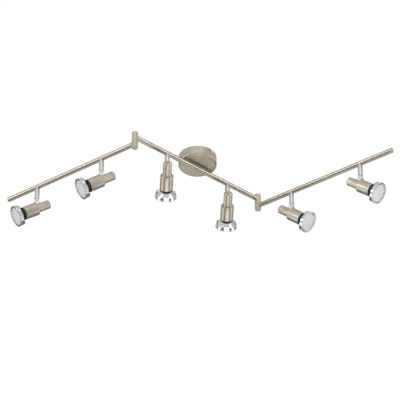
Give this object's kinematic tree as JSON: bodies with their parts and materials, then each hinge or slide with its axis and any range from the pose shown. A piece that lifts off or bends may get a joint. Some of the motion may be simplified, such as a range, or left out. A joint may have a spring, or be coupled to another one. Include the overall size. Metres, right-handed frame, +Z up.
{
  "type": "track lighting fixture",
  "caption": "Folding ceiling spotlight bar: hinged satin tubes under a round canopy, with swivelling and tilting reflector spots hung on chrome arms.",
  "frame": {"origin": "centre of the canopy on the ceiling plane, between the two ceiling screw holes", "axes": "+Z up into the ceiling, +X along the overall length of the part-unfolded zigzag, +Y by the right-hand rule"},
  "size_m": [1.0072, 0.2804, 0.1912],
  "materials": {
    "satin_nickel": "satin",
    "chrome": "polished",
    "zinc_steel": "zinc plated",
    "black_rubber": "satin",
    "terminal_plastic": "matte",
    "brass": "machined",
    "ceramic": "matte",
    "lamp_glass": "clear, silvered reflector behind"
  },
  "bodies": {
    "canopy_bar": {"ceiling_bracket": "zinc_steel", "canopy": "satin_nickel", "canopy_side_screws": "chrome", "terminal_block": "terminal_plastic", "terminal_screws": "brass", "earth_screw": "brass", "support_stems": "satin_nickel", "stem_nuts": "zinc_steel", "center_tube": "satin_nickel", "hinge_upper_knuckles": "satin_nickel"},
    "left_bar": {"left_tube": "satin_nickel", "left_hinge_knuckle": "satin_nickel", "left_hinge_axle": "zinc_steel", "left_end_cap": "satin_nickel"},
    "right_bar": {"right_tube": "satin_nickel", "right_hinge_knuckle": "satin_nickel", "right_hinge_axle": "zinc_steel", "right_end_cap": "satin_nickel"},
    "spot_1_arm_body": {"spot_1_arm": "chrome"},
    "spot_1_head": {"spot_1_housing": "satin_nickel", "spot_1_tilt_pivot": "zinc_steel", "spot_1_lampholder": "ceramic", "spot_1_front_gasket": "black_rubber"},
    "spot_1_lamp_body": {"spot_1_lamp": "lamp_glass", "spot_1_lamp_ring": "chrome"},
    "spot_2_arm_body": {"spot_2_arm": "chrome"},
    "spot_2_head": {"spot_2_housing": "satin_nickel", "spot_2_tilt_pivot": "zinc_steel", "spot_2_lampholder": "ceramic", "spot_2_front_gasket": "black_rubber"},
    "spot_2_lamp_body": {"spot_2_lamp": "lamp_glass", "spot_2_lamp_ring": "chrome"},
    "spot_3_arm_body": {"spot_3_arm": "chrome"},
    "spot_3_head": {"spot_3_housing": "satin_nickel", "spot_3_tilt_pivot": "zinc_steel", "spot_3_lampholder": "ceramic", "spot_3_front_gasket": "black_rubber"},
    "spot_3_lamp_body": {"spot_3_lamp": "lamp_glass", "spot_3_lamp_ring": "chrome"},
    "spot_4_arm_body": {"spot_4_arm": "chrome"},
    "spot_4_head": {"spot_4_housing": "satin_nickel", "spot_4_tilt_pivot": "zinc_steel", "spot_4_lampholder": "ceramic", "spot_4_front_gasket": "black_rubber"},
    "spot_4_lamp_body": {"spot_4_lamp": "lamp_glass", "spot_4_lamp_ring": "chrome"},
    "spot_5_arm_body": {"spot_5_arm": "chrome"},
    "spot_5_head": {"spot_5_housing": "satin_nickel", "spot_5_tilt_pivot": "zinc_steel", "spot_5_lampholder": "ceramic", "spot_5_front_gasket": "black_rubber"},
    "spot_5_lamp_body": {"spot_5_lamp": "lamp_glass", "spot_5_lamp_ring": "chrome"},
    "spot_6_arm_body": {"spot_6_arm": "chrome"},
    "spot_6_head": {"spot_6_housing": "satin_nickel", "spot_6_tilt_pivot": "zinc_steel", "spot_6_lampholder": "ceramic", "spot_6_front_gasket": "black_rubber"},
    "spot_6_lamp_body": {"spot_6_lamp": "lamp_glass", "spot_6_lamp_ring": "chrome"}
  },
  "joints": [
    {"name": "left_bar_hinge", "type": "hinge", "parent": "canopy_bar", "child": "left_bar", "pos_m": [-0.16011, -0.13199, -0.0588], "axis": [0, 0, 1], "range_deg": [-30, 74.5]},
    {"name": "right_bar_hinge", "type": "hinge", "parent": "canopy_bar", "child": "right_bar", "pos_m": [0.16011, 0.13199, -0.0588], "axis": [0, 0, 1], "range_deg": [-30, 74.5]},
    {"name": "spot_1_swivel", "type": "hinge", "parent": "left_bar", "child": "spot_1_arm_body", "pos_m": [-0.41978, 0.04984, -0.1088], "axis": [0, 0, 1], "range_deg": [-165, 165]},
    {"name": "spot_1_tilt", "type": "hinge", "parent": "spot_1_arm_body", "child": "spot_1_head", "pos_m": [-0.41978, 0.04984, -0.1088], "axis": [-0.2164, 0.9763, 0], "range_deg": [-57.5, 32.5]},
    {"name": "spot_1_lamp_twist", "type": "hinge", "parent": "spot_1_head", "child": "spot_1_lamp_body", "pos_m": [-0.41008, 0.05199, -0.1244], "axis": [-0.8234, -0.1825, -0.5373], "range_deg": [0, 25]},
    {"name": "spot_2_swivel", "type": "hinge", "parent": "left_bar", "child": "spot_2_arm_body", "pos_m": [-0.24694, -0.07119, -0.1088], "axis": [0, 0, 1], "range_deg": [-165, 165]},
    {"name": "spot_2_tilt", "type": "hinge", "parent": "spot_2_arm_body", "child": "spot_2_head", "pos_m": [-0.24694, -0.07119, -0.1088], "axis": [-0.1564, 0.9877, 0], "range_deg": [-57, 33]},
    {"name": "spot_2_lamp_twist", "type": "hinge", "parent": "spot_2_head", "child": "spot_2_lamp_body", "pos_m": [-0.23699, -0.06961, -0.12432], "axis": [-0.8283, -0.1312, -0.5446], "range_deg": [0, 25]},
    {"name": "spot_3_swivel", "type": "hinge", "parent": "canopy_bar", "child": "spot_3_arm_body", "pos_m": [-0.07832, -0.06456, -0.087], "axis": [0, 0, 1], "range_deg": [-165, 165]},
    {"name": "spot_3_tilt", "type": "hinge", "parent": "spot_3_arm_body", "child": "spot_3_head", "pos_m": [-0.07832, -0.06456, -0.087], "axis": [0.9976, 0.0698, 0], "range_deg": [-63, 27]},
    {"name": "spot_3_lamp_twist", "type": "hinge", "parent": "spot_3_head", "child": "spot_3_lamp_body", "pos_m": [-0.07773, -0.07294, -0.10348], "axis": [-0.0622, 0.8888, -0.454], "range_deg": [0, 25]},
    {"name": "spot_4_swivel", "type": "hinge", "parent": "canopy_bar", "child": "spot_4_arm_body", "pos_m": [0.07832, 0.06456, -0.087], "axis": [0, 0, 1], "range_deg": [-165, 165]},
    {"name": "spot_4_tilt", "type": "hinge", "parent": "spot_4_arm_body", "child": "spot_4_head", "pos_m": [0.07832, 0.06456, -0.087], "axis": [0.9981, 0.061, 0], "range_deg": [-62.5, 27.5]},
    {"name": "spot_4_lamp_twist", "type": "hinge", "parent": "spot_4_head", "child": "spot_4_lamp_body", "pos_m": [0.07884, 0.05604, -0.10341], "axis": [-0.0542, 0.8854, -0.4617], "range_deg": [0, 25]},
    {"name": "spot_5_swivel", "type": "hinge", "parent": "right_bar", "child": "spot_5_arm_body", "pos_m": [0.24694, 0.07119, -0.1088], "axis": [0, 0, 1], "range_deg": [-165, 165]},
    {"name": "spot_5_tilt", "type": "hinge", "parent": "spot_5_arm_body", "child": "spot_5_head", "pos_m": [0.24694, 0.07119, -0.1088], "axis": [-0.3502, -0.9367, 0], "range_deg": [-50.5, 39.5]},
    {"name": "spot_5_lamp_twist", "type": "hinge", "parent": "spot_5_head", "child": "spot_5_lamp_body", "pos_m": [0.23592, 0.07531, -0.12308], "axis": [0.7228, -0.2702, -0.6361], "range_deg": [0, 25]},
    {"name": "spot_6_swivel", "type": "hinge", "parent": "right_bar", "child": "spot_6_arm_body", "pos_m": [0.41978, -0.04984, -0.1088], "axis": [0, 0, 1], "range_deg": [-165, 165]},
    {"name": "spot_6_tilt", "type": "hinge", "parent": "spot_6_arm_body", "child": "spot_6_head", "pos_m": [0.41978, -0.04984, -0.1088], "axis": [-0.3746, -0.9272, 0], "range_deg": [-52, 38]},
    {"name": "spot_6_lamp_twist", "type": "hinge", "parent": "spot_6_head", "child": "spot_6_lamp_body", "pos_m": [0.40922, -0.04557, -0.12338], "axis": [0.7306, -0.2952, -0.6157], "range_deg": [0, 25]}
  ]
}
